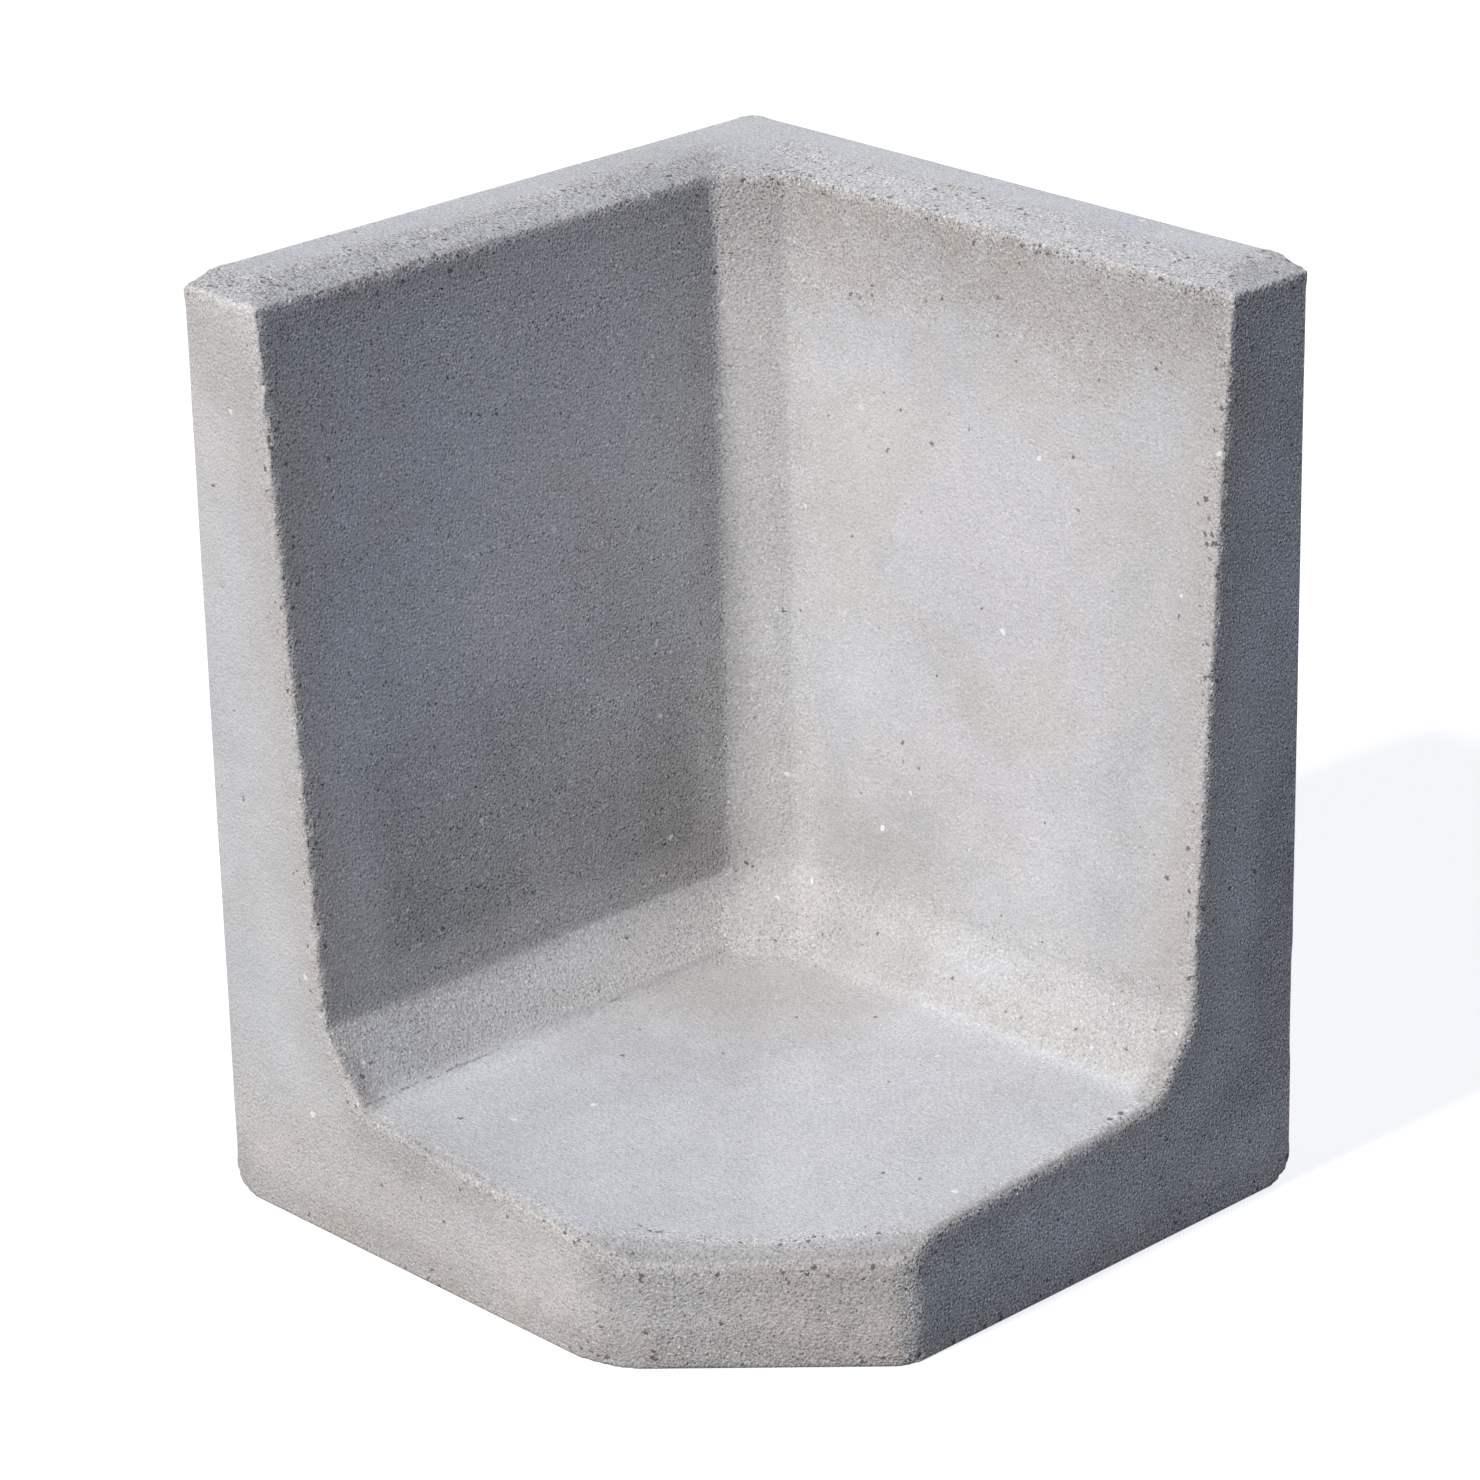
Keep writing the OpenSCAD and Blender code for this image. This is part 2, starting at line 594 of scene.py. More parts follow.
@dataclass(frozen=True)
class CastConcrete:
    """Fine grey concrete, matt and sandy, cloudy in tone and stained near its rims, with light and shade
    painted in on some faces.
    """

    grey: Colour = (0.622, 0.598, 0.580, 1.0)
    bloom: Colour = (0.655, 0.626, 0.616, 1.0)
    cool: Colour = (0.590, 0.605, 0.635, 1.0)
    warm: Colour = (0.540, 0.485, 0.445, 1.0)
    beige: Colour = (0.600, 0.558, 0.520, 1.0)
    olive: Colour = (0.575, 0.563, 0.522, 1.0)
    dirt_and_shade: Colour = (0.515, 0.485, 0.460, 1.0)
    stone: Colour = (0.900, 0.880, 0.840, 1.0)
    pore_shade: Colour = (0.130, 0.125, 0.120, 1.0)
    roughness: float = 0.90
    gloss: float = 0.25
    brightness: float = 0.848
    speck_and_glint_size: float = 0.0011
    pore_size: float = 0.0038
    sand_relief: float = 0.00030
    painted_light_lean: tuple[float, float, float] = (0.00015, -0.00035, 0.00050)
    toe_distance: float = 0.106

    def material(self, low: Vector, high: Vector) -> bpy.types.Material:
        """Builds the finish.

        Args:
            low: Lowest corner of the element.
            high: Highest corner of the element.

        Returns:
            The material.
        """
        material, bench, shader = fresh_material("cast_concrete")
        face = CastFace(bench, low, high)
        tone = self._stained(face, self._clouded(face))
        level = self._level(face, self._relief_tone(face) * self._coarseness_and_shade(face))
        even = bench.node("ShaderNodeCombineColor", None, {0: level, 1: level, 2: level})
        tone = self._pierced(face, bench.blend(1.0, tone, even, "MULTIPLY"))
        relief = face.fleck * 0.6 + face.sand * 1.4
        values = {"Strength": 1.0, "Distance": self.sand_relief, "Height": relief}
        bump = bench.node("ShaderNodeBump", None, values)
        bench.tree.links.new(tone.socket, shader.inputs["Base Color"])
        bench.tree.links.new(bump.socket, shader.inputs["Normal"])
        shader.inputs["Roughness"].default_value = self.roughness
        shader.inputs["Specular IOR Level"].default_value = self.gloss
        return material

    def _clouded(self, face: CastFace) -> Flow:
        """Mixes the clean concrete's own tones, and paints sky light and warm bounce light on some faces.

        Args:
            face: What the finish goes by.

        Returns:
            The colour.
        """
        open_face = face.rim.lowest(face.hollow) + face.wander * 0.10 + face.drift
        tone = face.bench.blend(open_face.ramp(0.020, 0.085), self.grey, self.bloom)
        cool_tint_and_sky_light = (face.tint + face.drift).ramp(0.51, 0.60) * (1.0 - 0.9 * face.lee)
        # painted sky light: upward faces take the cool tone, on top of the cool patches that the concrete
        # has of its own
        cool_tint_and_sky_light = (cool_tint_and_sky_light * (0.35 - 0.15 * face.side)).highest(face.skyward * 0.42)
        # painted sky light: the left wall's shaded inner face turns cool higher up
        cool_tint_and_sky_light = cool_tint_and_sky_light.highest(face.left_inner * face.height.ramp(0.12, 0.26) * 0.45)
        tone = face.bench.blend(cool_tint_and_sky_light, tone, self.cool)
        aged = (face.age + face.drift).ramp(0.50, 0.60) * (0.55 - 0.40 * face.skyward)
        to_right = (face.x + face.drift).ramp(0.100, 0.170) * (1.0 - face.skyward)
        aged = aged.highest(to_right * (1.0 - face.lee) * 0.35)
        tone = face.bench.blend(aged, tone, self.beige)
        olive_tint_and_bounce = (face.age + face.drift).ramp(0.50, 0.42) * face.side * 0.60
        # painted warm bounce light: the left wall's shaded inner face turns olive towards the corner strip
        by_strip = face.left_inner * (face.y + face.wander * 0.10).ramp(0.03, 0.13)
        low_down = (face.height + face.drift).ramp(0.27, 0.15)
        low_down = low_down * face.lee.highest(face.joint) * (1.0 - face.right_end)
        olive_tint_and_bounce = olive_tint_and_bounce.highest(by_strip * 0.65).highest(low_down * 0.35)
        return face.bench.blend(olive_tint_and_bounce, tone, self.olive)

    def _stained(self, face: CastFace, tone: Flow) -> Flow:
        """Lays the stains, the smudges and painted shade over the clean concrete.

        Args:
            face: What the finish goes by.
            tone: The clean concrete's colour.

        Returns:
            The colour.
        """
        stained = face.stain * (0.35 + 0.65 * face.patch.ramp(0.42, 0.57))
        stained = stained.highest(face.near_rim * 0.5 * (1.0 - face.skyward))
        tone = face.bench.blend(stained, tone, self.warm)
        tone = face.bench.blend(face.border * 0.45, tone, self.beige)
        # painted shade: darker near the bottom of the inner corner, along the hollows and on the foot's
        # slanted rims; the sandy border and the brown smudge are the concrete's own
        dirt_and_painted_shade = face.from_corner.ramp(0.175, 0.055) * face.height.ramp(0.24, 0.10)
        dirt_and_painted_shade = dirt_and_painted_shade.highest((face.hollow + face.drift).ramp(0.030, 0.0) * 0.45)
        dirt_and_painted_shade = dirt_and_painted_shade.highest(face.border * 0.10).highest(face.slant * 0.60).highest(face.smudge * 0.70)
        tone = face.bench.blend(dirt_and_painted_shade * 0.85, tone, self.dirt_and_shade)
        tone = face.bench.blend(face.strip * 0.30, tone, self.beige)
        rusty = face.front * (face.x + face.drift).ramp(0.110, 0.160)
        return face.bench.blend(rusty * 0.75, tone, self.warm)

    def _relief_tone(self, face: CastFace) -> Flow:
        """Paints the grains' light and shade: lit and shaded flanks, shaded dark specks and glints.

        Args:
            face: What the finish goes by.

        Returns:
            How much brighter each spot is than the face around it.
        """
        # painted light and shade: the sand less the same sand read a little towards the light gives each
        # grain a lit and a shaded flank
        leant = face.place.vector("ADD", self.painted_light_lean)
        above = face.bench.noise(leant, face.sand_size, *face.sand_detail)
        speck_and_glint = face.bench.noise(face.place, self.speck_and_glint_size, 0.0, 0.5)
        # painted highlights: glints, strongest on the shaded right end
        glint = speck_and_glint.ramp(0.68, 0.76) * (0.17 + 0.12 * face.right_end)
        return (face.sand - above) * 0.62 - speck_and_glint.ramp(0.34, 0.26) * 0.17 + glint

    @staticmethod
    def _coarseness_and_shade(face: CastFace) -> Flow:
        """Tells how strongly the grains and their painted light and shade show, 1 being an open face.

        Args:
            face: What the finish goes by.

        Returns:
            The strength.
        """
        upright = 1.0 - face.skyward
        coarse = 1.0 + face.worn * (1.0 - 0.6 * face.side - 0.6 * face.slant - 0.5 * face.bevel)
        coarse = coarse + face.side + 0.8 * face.top * upright + 0.6 * face.top * face.skyward
        # painted shade: the grains' painted relief shows most on faces turned from the key light and on the
        # shaded right end
        coarse = coarse + 2.5 * face.grazed + 1.2 * face.right_end + face.haunch
        coarse = coarse + 0.25 * face.skyward * (1.0 - face.top)
        coarse = coarse - 0.3 * face.left_inner * face.height.ramp(0.26, 0.14)
        return coarse + 0.3 * face.border + 0.6 * face.pitted + 0.4 * face.hollow.ramp(0.022, 0.008)

    def _level(self, face: CastFace, grains: Flow) -> Flow:
        """Works out how bright the concrete is, painted light and shade included.

        Args:
            face: What the finish goes by.
            grains: What its grains add.

        Returns:
            What the colour is multiplied by.
        """
        upright = 1.0 - face.skyward
        lit = 1.0 - face.lee
        uneven = (face.patch - 0.5) * 0.20
        level = self.brightness + 0.14 * face.patch + 0.08 * face.fleck + 0.30 * face.wander + grains
        level = level - 0.05 * face.pitted
        level = level - 0.10 * face.top * face.skyward + 0.19 * face.top * face.left_end
        # painted light: the faces in shade a little lighter, and the right end patchy
        level = level + (0.02 + uneven * face.joint) * face.lee + (uneven + 0.06) * face.side
        # painted shade: upright faces darker towards the bottom, away from rims and hollows, most on the
        # faces in shade
        painted_low_shade = face.height.ramp(0.33, 0.15) * upright * face.rim.ramp(0.030, 0.060)
        level = level - painted_low_shade * (0.05 + 0.17 * face.lee) * face.hollow.ramp(0.012, 0.030)
        under_rim = face.top * upright * lit * (1.0 - 0.8 * face.joint)
        level = level - under_rim * (face.rim + face.drift).ramp(0.055, 0.008, 0.085, 0.165)
        # painted shade: the foot's slanted rims darker where the key light falls on them most; the band and
        # the smudge are stains
        level = level - 0.11 * face.band - 0.16 * face.slant - 0.04 * face.smudge
        level = level + 0.08 * face.front + 0.03 * face.strip
        # painted shade: lit upright faces right of the inner corner darker towards the bottom
        right_wall_low_shade = face.height.ramp(0.26, 0.14) * face.x.ramp(-0.080, -0.050)
        level = level - 0.04 * right_wall_low_shade * upright * lit * (1.0 - face.joint)
        # painted light: the left haunch lighter towards the inner corner and a little darker far from it
        level = level + face.haunch * face.from_corner.ramp(0.27, 0.04, -0.04, 0.30)
        # painted light: the shaded right end lighter towards the bottom
        return level + 0.12 * face.height.ramp(0.44, 0.12) * face.right_end

    def _pierced(self, face: CastFace, tone: Flow) -> Flow:
        """Paints shade into the pinholes, the pits and the crease at the left haunch's toe, and adds a few
        pale stones.

        Args:
            face: What the finish goes by.
            tone: The colour so far.

        Returns:
            The colour.
        """
        bend = face.fleck.beside("Color").vector("SCALE", Scale=0.0042)
        away, own = face.bench.cells(face.place.vector("ADD", bend), self.pore_size)
        stone = away.ramp(0.50, 0.42) * own.part("X").ramp(0.9985, 0.9988)
        tone = face.bench.blend(stone * 0.85, tone, self.stone)
        share = own.part("Y") + face.worn * (0.18 - 0.16 * face.slant) + 0.05 * face.side
        share = share + (face.patch - 0.5) * 0.25 + 0.12 * face.pitted + 0.02 * face.stain
        share = share - 0.012 * face.skyward + 0.015 * face.right_end
        ragged = away * (0.75 + 0.9 * own.part("Z")) + (face.sand - 0.5) * 0.9
        hole = (ragged + 0.08 * (1.0 - face.worn)).ramp(0.42, 0.30) * share.ramp(0.985, 1.000)
        hollowed = (face.pit + (face.sand - 0.5) * 1.8).ramp(0.35, 0.60)
        # painted shade: the pinholes, the geometric pits and the crease at the left haunch's toe take the
        # near-black pore colour
        dark = hole.highest(hollowed).highest(self._toe_crease_shade(face) * 0.8)
        return face.bench.blend(dark * 0.85, tone, self.pore_shade)

    def _toe_crease_shade(self, face: CastFace) -> Flow:
        """Draws painted shade in the crease at the toe of the left haunch, as a broken line.

        Args:
            face: What the finish goes by.

        Returns:
            Where it shows.
        """
        off_toe = face.x - (face.low.x + self.toe_distance) + (face.fleck - 0.5) * 0.004
        crease_shade = off_toe.highest(off_toe * -1.0).ramp(0.0010, 0.0003) * face.patch.ramp(0.46, 0.54)
        crease_shade = crease_shade * (face.sand + face.fleck - 1.0).ramp(-0.02, 0.05)
        crease_shade = crease_shade * face.y.ramp(0.03, -0.03)
        return crease_shade * face.z.ramp(0.076, 0.078) * face.z.ramp(0.090, 0.088)


@dataclass(frozen=True)
class SandGrain:
    """Bare sand and fine gravel, each grain in its own tone."""

    dark: Colour = (0.300, 0.285, 0.270, 1.0)
    light: Colour = (0.720, 0.700, 0.670, 1.0)
    roughness: float = 0.75

    def material(self) -> bpy.types.Material:
        """Builds the finish.

        Returns:
            The material.
        """
        material, bench, shader = fresh_material("bare_sand")
        place = bench.node("ShaderNodeTexCoord", output="Object")
        own = bench.node("ShaderNodeAttribute", {"attribute_name": "tone"}, output="Fac")
        vein = bench.noise(place, 0.0012, 2.0, 0.6)
        tone = bench.blend(own.ramp(0.0, 1.0) * 0.8 + vein * 0.2, self.dark, self.light)
        bump = bench.node("ShaderNodeBump", None, {"Strength": 0.6, "Distance": 0.0002, "Height": vein})
        bench.tree.links.new(tone.socket, shader.inputs["Base Color"])
        bench.tree.links.new(bump.socket, shader.inputs["Normal"])
        shader.inputs["Roughness"].default_value = self.roughness
        return material


@dataclass
class CastBody:
    """The element itself: both walls, the haunches, the corner strip and the foot."""

    node: str = "corner_element"
    cell: float = 0.0018
    quick_cell: float = 0.0042
    face_limit: int = 194_000
    rounding: int = 14
    wave_depth: float = 0.0007
    wave_size: float = 0.085
    dimple_depth: float = 0.00024
    dimple_size: float = 0.0060
    crumble_depth: float = 0.0009
    crumble_reach: float = 0.0055
    crumble_size: float = 0.0070
    pit_smallest: float = 0.0009
    pit_largest: float = 0.0021
    pit_hollow: float = 0.70
    pits_on_faces: float = 60.0
    pits_on_rims: float = 8500.0
    pits_in_hollows: float = 5000.0
    pit_ragged: float = 0.0030
    cluster_size: float = 0.022
    sharp: float = math.radians(12.0)
    seed: int = 7

    def build(self, finish: bpy.types.Material) -> bpy.types.Object:
        """Builds the body.

        Args:
            finish: The concrete that it wears.

        Returns:
            The finished piece.
        """
        mesh = self._joined_solid()
        guides = {arris: self._guide(mesh, arris) for arris in Arris}
        piece = new_piece("cast_body", mesh)
        remesh = piece.modifiers.new("even_cells", "REMESH")
        remesh.mode = "VOXEL"
        remesh.voxel_size = self.cell
        settle(piece)
        self._relief(guides, finish).apply(piece)
        self._thin(piece)
        for guide in guides.values():
            spent = guide.data
            bpy.data.objects.remove(guide)
            bpy.data.meshes.remove(spent)
        piece.data.polygons.foreach_set("use_smooth", [True] * len(piece.data.polygons))
        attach(piece, "root")
        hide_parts(self.node)
        log.info("cast body: %d triangles", triangles(piece))
        return piece

    def _joined_solid(self) -> bpy.types.Mesh:
        """Copies the fixed solid's mesh and joins its loose triangles.

        Returns:
            The mesh.
        """
        mesh = frame["nodes"][self.node].data.copy()
        mesh.name = "cast_body"
        work = bmesh.new()
        work.from_mesh(mesh)
        bmesh.ops.remove_doubles(work, verts=work.verts, dist=1e-6)
        work.to_mesh(mesh)
        work.free()
        return mesh

    def _guide(self, mesh: bpy.types.Mesh, arris: Arris) -> bpy.types.Object:
        """Draws the solid's sharp edges of one kind as plain lines.

        Args:
            mesh: The joined solid.
            arris: Which edges are wanted.

        Returns:
            An object that holds only those lines.
        """
        work = bmesh.new()
        work.from_mesh(mesh)
        lines = []
        for edge in work.edges:
            turn = edge.calc_face_angle_signed(0.0) * arris.value
            ends = [vertex.co.copy() for vertex in edge.verts]
            if turn > self.sharp and not self._behind(ends):
                lines.append(ends)
        work.free()
        points = [point for line in lines for point in line]
        drawn = bpy.data.meshes.new("guide")
        drawn.from_pydata(points, [(i, i + 1) for i in range(0, len(points), 2)], [])
        log.info("%s lines: %d", arris.name.lower(), len(lines))
        return new_piece("guide_" + arris.name.lower(), drawn)

    def _behind(self, ends: list[Vector]) -> bool:
        """Tells whether an edge lies on one of the smooth outer faces.

        Args:
            ends: Both ends of the edge.

        Returns:
            True where it does.
        """
        low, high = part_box(self.node)
        return all(end.x < low.x + 0.001 for end in ends) or all(end.y > high.y - 0.001 for end in ends)

    def _relief(self, guides: Mapping[Arris, bpy.types.Object], finish: bpy.types.Material) -> Recipe:
        """Lays out the tree that gives the even body its cast surface.

        Args:
            guides: The lines along rims and along hollows.
            finish: The concrete that it wears.

        Returns:
            The tree.
        """
        recipe = Recipe("cast_relief")
        low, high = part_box(self.node)
        mesh = self._measured(recipe, recipe.mesh, guides)
        mesh = self._softened(recipe, mesh)
        mesh = self._marked(recipe, mesh, high)
        standing = recipe.place.part("Z").ramp(0.0006, 0.0040)
        pit, radius = self._pits(recipe, mesh)
        depth = self._wear(recipe) + pit * radius * recipe.size("Pit hollow", self.pit_hollow)
        mesh = recipe.keep(mesh, "pit", pit * standing)
        normal = recipe.node("GeometryNodeInputNormal")
        mesh = recipe.move(mesh, Offset=normal.vector("SCALE", Scale=0.0 - depth * standing))
        recipe.finish(recipe.hold(mesh, low, high), finish)
        return recipe

    def _measured(self, recipe: Recipe, mesh: Flow, guides: Mapping[Arris, bpy.types.Object]) -> Flow:
        """Keeps each point's distance from the rims and from the hollows.

        Args:
            recipe: The node tree.
            mesh: The mesh.
            guides: The lines along rims and along hollows.

        Returns:
            The mesh with both distances.
        """
        for arris, guide in guides.items():
            name = arris.name.lower()
            asked = recipe.size(name.capitalize() + " lines", guide, "NodeSocketObject")
            lines = recipe.node("GeometryNodeObjectInfo", None, {"Object": asked}, "Geometry")
            near = recipe.node("GeometryNodeProximity", {"target_element": "EDGES"}, {0: lines}, "Distance")
            mesh = recipe.keep(mesh, name, near)
        return mesh

    def _softened(self, recipe: Recipe, mesh: Flow) -> Flow:
        """Rounds the foot's rims and the right haunch's toe, and leaves the other arrises fairly crisp.

        Args:
            recipe: The node tree.
            mesh: The mesh with its distances.

        Returns:
            The softened mesh.
        """
        rounding = recipe.size("Rounding", self.rounding, "NodeSocketInt")
        height = recipe.place.part("Z")
        rim = recipe.kept("rim")
        hollow = recipe.kept("hollow")
        ease = 0.06 + 0.20 * rim.lowest(hollow).ramp(0.004, 0.012)
        ease = ease + 0.75 * self._foot_rim(height) * rim.ramp(0.016, 0.009)
        right_toe = recipe.place.part("Y").ramp(0.060, 0.085) * height.ramp(0.066, 0.076)
        ease = ease.highest(right_toe * height.ramp(0.140, 0.120))
        blur = {"Value": recipe.place, "Iterations": rounding, "Weight": ease}
        soft = recipe.node("GeometryNodeBlurAttribute", {"data_type": "FLOAT_VECTOR"}, blur)
        return recipe.move(mesh, Position=soft)

    def _marked(self, recipe: Recipe, mesh: Flow, high: Vector) -> Flow:
        """Keeps which face each point is on, for the finish to go by.

        Args:
            recipe: The node tree.
            mesh: The softened mesh.
            high: Highest corner of the element.

        Returns:
            The mesh with its marks.
        """
        place = recipe.place
        normal = recipe.node("GeometryNodeInputNormal")
        upward = normal.part("Z")
        rightward = normal.part("X")
        rim = recipe.kept("rim")
        tilted = upward.ramp(0.45, 0.60) * upward.ramp(0.993, 0.940)
        sloped = upward.ramp(0.40, 0.50) * upward.ramp(0.72, 0.62)
        cornering = rightward.ramp(0.45, 0.62) * rightward.ramp(0.90, 0.78)
        outermost = (0.0 - place.part("Y")).highest(place.part("X"))
        marks = {
            "skyward": upward.ramp(0.55, 0.90),
            "bevel": upward.ramp(0.90, 0.94) * upward.ramp(0.988, 0.972),
            "diagonal": cornering * upward.ramp(0.45, 0.30),
            "slant": tilted * place.part("Z").ramp(0.110, 0.100) * rim.ramp(0.016, 0.010),
            "lee": rightward.ramp(0.80, 0.97),
            "grazed": (rightward - upward * 0.35).ramp(0.55, 1.0),
            "haunch": sloped * rightward.ramp(0.60, 0.76),
            "joint": outermost.ramp(high.x - 0.004, high.x - 0.001),
        }
        for name, mark in marks.items():
            mesh = recipe.keep(mesh, name, mark)
        return mesh

    def _pits(self, recipe: Recipe, mesh: Flow) -> tuple[Flow, Flow]:
        """Strews the pits, in clusters along rims and hollows.

        Args:
            recipe: The node tree.
            mesh: The softened mesh.

        Returns:
            How deep each point is in the nearest pit, from 0 to 1, and that pit's radius.
        """
        seed = recipe.size("Seed", self.seed, "NodeSocketInt")
        on_faces = recipe.size("Pits on faces", self.pits_on_faces)
        on_rims = recipe.size("Pits on rims", self.pits_on_rims)
        in_hollows = recipe.size("Pits in hollows", self.pits_in_hollows)
        smallest = recipe.size("Smallest pit", self.pit_smallest)
        largest = recipe.size("Largest pit", self.pit_largest)
        height = recipe.place.part("Z")
        cluster = recipe.noise(recipe.place, self.cluster_size, 3.0, 0.6).ramp(0.45, 0.68)
        below_top = height.ramp(0.475, 0.460) * 0.6
        along_rim = recipe.kept("rim").ramp(0.012, 0.001) * cluster
        along_rim = along_rim * (1.0 - below_top) * (1.0 - 0.85 * self._foot_rim(height))
        along_hollow = recipe.kept("hollow").ramp(0.0035, 0.0010) * cluster
        thick = on_faces * (0.25 + 1.5 * cluster) + on_rims * along_rim + in_hollows * along_hollow
        strewn = {"Mesh": mesh, "Density": thick, "Seed": seed}
        spots = recipe.node("GeometryNodeDistributePointsOnFaces", None, strewn)
        drawn = {"Min": 0.0, "Max": 1.0, "Seed": seed}
        lot = recipe.node("FunctionNodeRandomValue", {"data_type": "FLOAT"}, drawn, "Value")
        spots = recipe.keep(spots, "radius", smallest + (largest - smallest) * lot * lot)
        closest = recipe.node("GeometryNodeSampleNearest", {"domain": "POINT"}, {"Geometry": spots})
        asked = {"Geometry": spots, "Value": recipe.kept("radius"), "Index": closest}
        radius = recipe.node("GeometryNodeSampleIndex", {"data_type": "FLOAT"}, asked)
        away = recipe.node("GeometryNodeProximity", {"target_element": "POINTS"}, {0: spots}, "Distance")
        ragged = 0.20 + 1.6 * recipe.noise(recipe.place, self.pit_ragged, 2.0)
        return (away * ragged / radius).ramp(1.0, 0.30), radius

    def _wear(self, recipe: Recipe) -> Flow:
        """Works out how far waves, dimples and crumbling take the surface back.

        Args:
            recipe: The node tree.

        Returns:
            The depth.
        """
        wave_depth = recipe.size("Wave depth", self.wave_depth)
        dimple_depth = recipe.size("Dimple depth", self.dimple_depth)
        crumble_depth = recipe.size("Crumble depth", self.crumble_depth)
        place = recipe.place
        height = place.part("Z")
        rim = recipe.kept("rim")
        wave = recipe.noise(place, self.wave_size, 3.0, 0.5)
        dimple = recipe.noise(place, self.dimple_size, 2.0, 0.6)
        chip = recipe.noise(place, self.crumble_size, 3.0, 0.65).ramp(0.46, 0.64)
        near_rim = rim.ramp(self.crumble_reach, 0.0005) * (1.0 - 0.8 * self._foot_rim(height))
        right_top = place.part("Y").ramp(0.09, 0.13) * height.ramp(0.45, 0.48)
        near_rim = near_rim * (1.0 - 0.5 * right_top)
        dimpled = dimple * dimple_depth * (0.35 + 0.5 * rim.ramp(0.022, 0.003))
        return wave * wave_depth + dimpled + chip * near_rim * crumble_depth

    @staticmethod
    def _foot_rim(height: Flow) -> Flow:
        """Gives 1 at the height of the foot's top rims."""
        return height.ramp(0.100, 0.085) * height.ramp(0.030, 0.045)

    def _thin(self, piece: bpy.types.Object) -> None:
        """Takes away the faces that flat places don't need.

        Args:
            piece: The body, changed in place.
        """
        count = triangles(piece)
        if count <= self.face_limit:
            return
        thin = piece.modifiers.new("thin", "DECIMATE")
        thin.ratio = self.face_limit / count
        settle(piece)


@dataclass
class SandOnRims:
    """The grains that stand bare where the cement skin has worn off the rims."""

    on_rims: float = 20_000.0
    on_faces: float = 350.0
    reach: float = 0.010
    cluster_size: float = 0.020
    smallest: float = 0.00055
    largest: float = 0.00125
    sink: float = 0.68
    tumble: float = 0.6
    seed: int = 19

    def build(self, body: bpy.types.Object, finish: bpy.types.Material) -> bpy.types.Object:
        """Strews the grains on a body.

        Args:
            body: The cast body, with its distance from the rims kept as rim.
            finish: What the grains wear.

        Returns:
            The grains as one piece.
        """
        piece = new_piece("bare_grains", body.data.copy())
        self._strewn(finish).apply(piece)
        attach(piece, "root")
        log.info("bare grains: %d triangles", triangles(piece))
        return piece

    def _strewn(self, finish: bpy.types.Material) -> Recipe:
        """Lays out the tree that strews and sinks the grains.

        Args:
            finish: What the grains wear.

        Returns:
            The tree.
        """
        recipe = Recipe("strewn_grains")
        low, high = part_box("corner_element")
        seed = recipe.size("Seed", self.seed, "NodeSocketInt")
        on_rims = recipe.size("Grains on rims", self.on_rims)
        on_faces = recipe.size("Grains on faces", self.on_faces)
        smallest = recipe.size("Smallest grain", self.smallest)
        largest = recipe.size("Largest grain", self.largest)
        sink = recipe.size("Sink", self.sink)
        height = recipe.place.part("Z")
        bare = recipe.noise(recipe.place, self.cluster_size, 3.0, 0.6).ramp(0.46, 0.64)
        bare = bare * height.ramp(0.085, 0.120, 0.10, 1.0)
        thick = on_rims * recipe.kept("rim").ramp(self.reach, 0.001) * bare + on_faces
        strewn = {"Mesh": recipe.mesh, "Density": thick * height.ramp(0.002, 0.006), "Seed": seed}
        spots = recipe.node("GeometryNodeDistributePointsOnFaces", None, strewn, "Points")
        single = {"data_type": "FLOAT"}
        drawn = {"Min": smallest, "Max": largest, "Seed": seed}
        radius = recipe.node("FunctionNodeRandomValue", single, drawn, "Value")
        down = spots.beside("Normal").vector("SCALE", Scale=0.0 - radius * sink)
        points = recipe.move(spots, Offset=down)
        ball = recipe.node("GeometryNodeMeshIcoSphere", None, {"Radius": 1.0, "Subdivisions": 1}, "Mesh")
        shape = {"X": radius * 1.15, "Y": radius * 0.95, "Z": radius * 0.80}
        spread = recipe.node("ShaderNodeCombineXYZ", None, shape)
        turn = spots.beside("Rotation")
        values = {"Points": points, "Instance": ball, "Rotation": turn, "Scale": spread}
        grains = recipe.node("GeometryNodeInstanceOnPoints", None, values)
        most = {"Max": (self.tumble, self.tumble, 6.28)}
        lean = recipe.node("FunctionNodeRandomValue", {"data_type": "FLOAT_VECTOR"}, most, "Value")
        grains = recipe.node("GeometryNodeRotateInstances", None, {"Instances": grains, "Rotation": lean})
        own = recipe.node("FunctionNodeRandomValue", single, {"Min": 0.0, "Max": 1.0}, "Value")
        grains = recipe.keep(grains, "tone", own, "INSTANCE")
        real = recipe.node("GeometryNodeRealizeInstances", None, {"Geometry": grains})
        real = recipe.hold(real, low, high)
        smooth = recipe.node("GeometryNodeSetShadeSmooth", None, {"Geometry": real, "Shade Smooth": True})
        recipe.finish(smooth, finish)
        return recipe


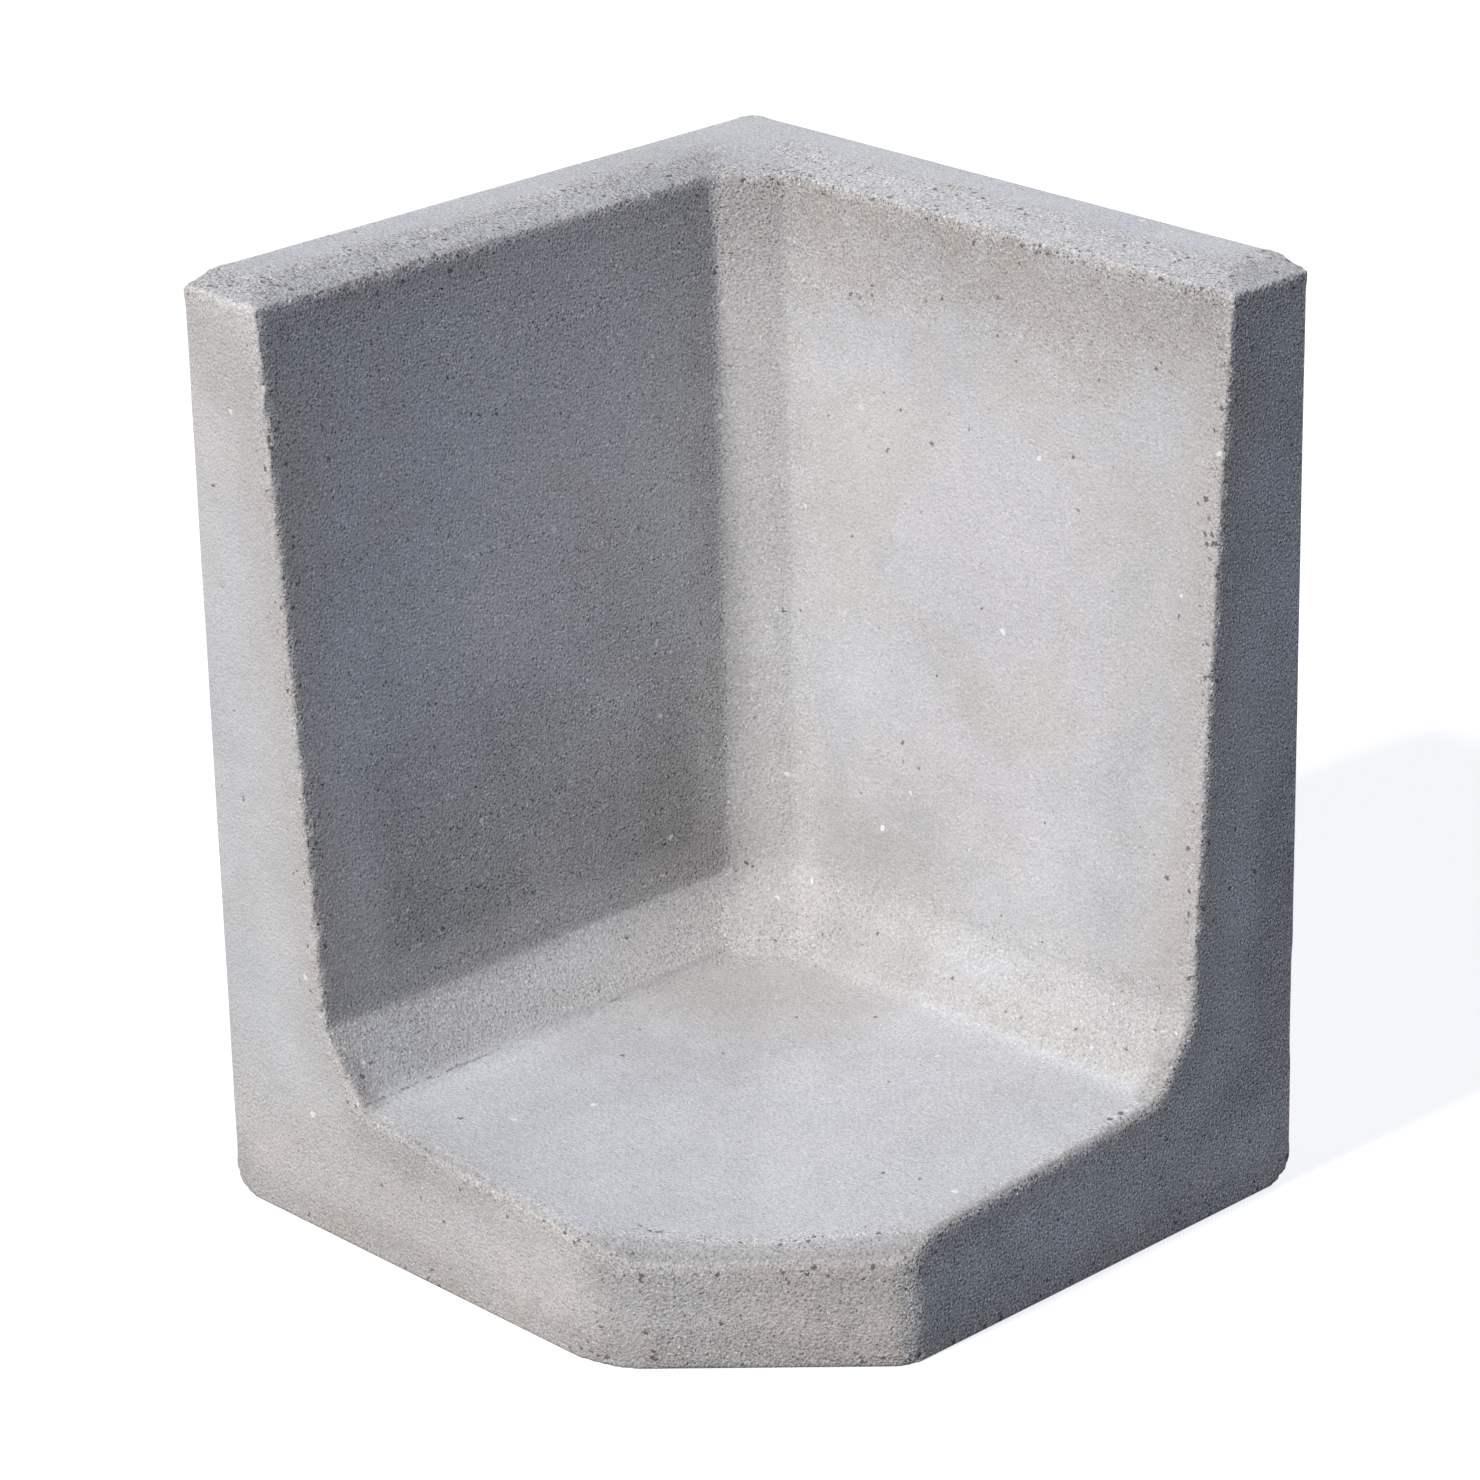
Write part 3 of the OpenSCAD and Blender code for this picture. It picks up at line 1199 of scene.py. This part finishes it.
@dataclass
class Studio:
    """A pale floor, soft lamps and the camera."""

    floor_size: float = 24.0
    key_strength: float = 3.22
    key_toward: tuple[float, float, float] = (-0.045, -0.745, 0.667)
    key_softness: float = math.radians(5.0)
    back_strength: float = 2.0
    back_toward: tuple[float, float, float] = (-0.70, 0.62, 0.12)
    back_softness: float = math.radians(40.0)
    sky: Colour = (0.190, 0.235, 0.322, 1.0)
    floor_glow: float = 0.80
    floor_tone: Colour = (0.36, 0.36, 0.36, 1.0)
    floor_bounce: Colour = (0.17, 0.17, 0.17, 1.0)
    eye: tuple[float, float, float] = (1.8459, -1.7651, 1.3007)
    azimuth: float = math.radians(46.436)
    elevation: float = math.radians(22.363)
    roll: float = math.radians(-1.249)
    lens: float = 133.13

    def build(self) -> None:
        """Sets up the floor, the light and the camera."""
        self._floor()
        self._world()
        self._lamp("key", self.key_strength, self.key_toward, self.key_softness)
        self._lamp("back", self.back_strength, self.back_toward, self.back_softness)
        self._camera()
        bpy.context.scene.view_settings.view_transform = "Standard"
        log.info("studio: floor, two lamps, sky and camera")

    @staticmethod
    def _seen(bench: Bench) -> Flow:
        """Gives 1 for what the eye, a gloss or a glass sees directly.

        Args:
            bench: The node tree.

        Returns:
            The mask.
        """
        path = bench.tree.nodes.new("ShaderNodeLightPath")
        eye, gloss, glass = (
            Flow(bench, path.outputs[name])
            for name in ("Is Camera Ray", "Is Glossy Ray", "Is Transmission Ray")
        )
        return eye.highest(gloss).highest(glass)

    def _floor(self) -> None:
        """Lays the floor: white to the eye, with the object's shadow on it."""
        half = self.floor_size / 2
        corners = [(-half, -half, 0), (half, -half, 0), (half, half, 0), (-half, half, 0)]
        mesh = bpy.data.meshes.new("floor")
        mesh.from_pydata(corners, [], [(0, 1, 2, 3)])
        floor = new_piece("floor", mesh)
        material = bpy.data.materials.new("pale_floor")
        material.use_nodes = True
        bench = Bench(material.node_tree)
        bench.tree.nodes.clear()
        white = bench.node("ShaderNodeEmission", None, {"Strength": self.floor_glow})
        shaded = bench.node("ShaderNodeBsdfDiffuse", None, {"Color": self.floor_tone})
        shown = bench.node("ShaderNodeAddShader", None, {0: white, 1: shaded})
        dim = bench.node("ShaderNodeBsdfDiffuse", None, {"Color": self.floor_bounce})
        mixed = bench.node("ShaderNodeMixShader", None, {0: self._seen(bench), 1: dim, 2: shown})
        end = bench.tree.nodes.new("ShaderNodeOutputMaterial")
        bench.tree.links.new(mixed.socket, end.inputs["Surface"])
        mesh.materials.append(material)

    def _world(self) -> None:
        """Gives a faint even sky light, and a white background to the eye."""
        world = bpy.data.worlds.new("sky")
        bpy.context.scene.world = world
        world.use_nodes = True
        bench = Bench(world.node_tree)
        bench.tree.nodes.clear()
        light = bench.node("ShaderNodeBackground", None, {"Color": self.sky, "Strength": 1.0})
        white = bench.node("ShaderNodeBackground", None, {"Color": (1.0, 1.0, 1.0, 1.0), "Strength": 1.0})
        mixed = bench.node("ShaderNodeMixShader", None, {0: self._seen(bench), 1: light, 2: white})
        end = bench.tree.nodes.new("ShaderNodeOutputWorld")
        bench.tree.links.new(mixed.socket, end.inputs["Surface"])

    @staticmethod
    def _lamp(name: str, strength: float, toward: tuple[float, float, float], softness: float) -> None:
        """Adds a soft lamp far away.

        Args:
            name: The lamp's name.
            strength: Its strength.
            toward: The direction from the object to the lamp.
            softness: How wide it looks from the object.
        """
        data = bpy.data.lights.new(name, "SUN")
        data.energy = strength
        data.angle = softness
        lamp = bpy.data.objects.new(name, data)
        lamp.rotation_euler = Vector(toward).to_track_quat("Z", "Y").to_euler()
        bpy.context.scene.collection.objects.link(lamp)

    def _camera(self) -> None:
        """Places the camera."""
        data = bpy.data.cameras.new("camera")
        data.sensor_width = 36.0
        data.lens = self.lens
        data.clip_start = 0.05
        data.clip_end = 60.0
        camera = bpy.data.objects.new("camera", data)
        flat = math.cos(self.elevation)
        around = Vector((math.sin(self.azimuth), -math.cos(self.azimuth), 0.0))
        back = around * flat + Vector((0.0, 0.0, math.sin(self.elevation)))
        side = Vector((0.0, 0.0, 1.0)).cross(back).normalized()
        upward = back.cross(side)
        right = side * math.cos(self.roll) + upward * math.sin(self.roll)
        above = back.cross(right)
        turn = Matrix((right, above, back)).transposed()
        camera.matrix_world = Matrix.Translation(self.eye) @ turn.to_4x4()
        bpy.context.scene.collection.objects.link(camera)
        bpy.context.scene.camera = camera


def main() -> None:
    """Builds the pieces in order and dresses them."""
    logging.basicConfig(level=logging.INFO, format="%(name)s: %(message)s")
    low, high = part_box("corner_element")
    body = CastBody().build(CastConcrete().material(low, high))
    SandOnRims().build(body, SandGrain().material())
    Studio().build()


if __name__ == "__main__":
    main()
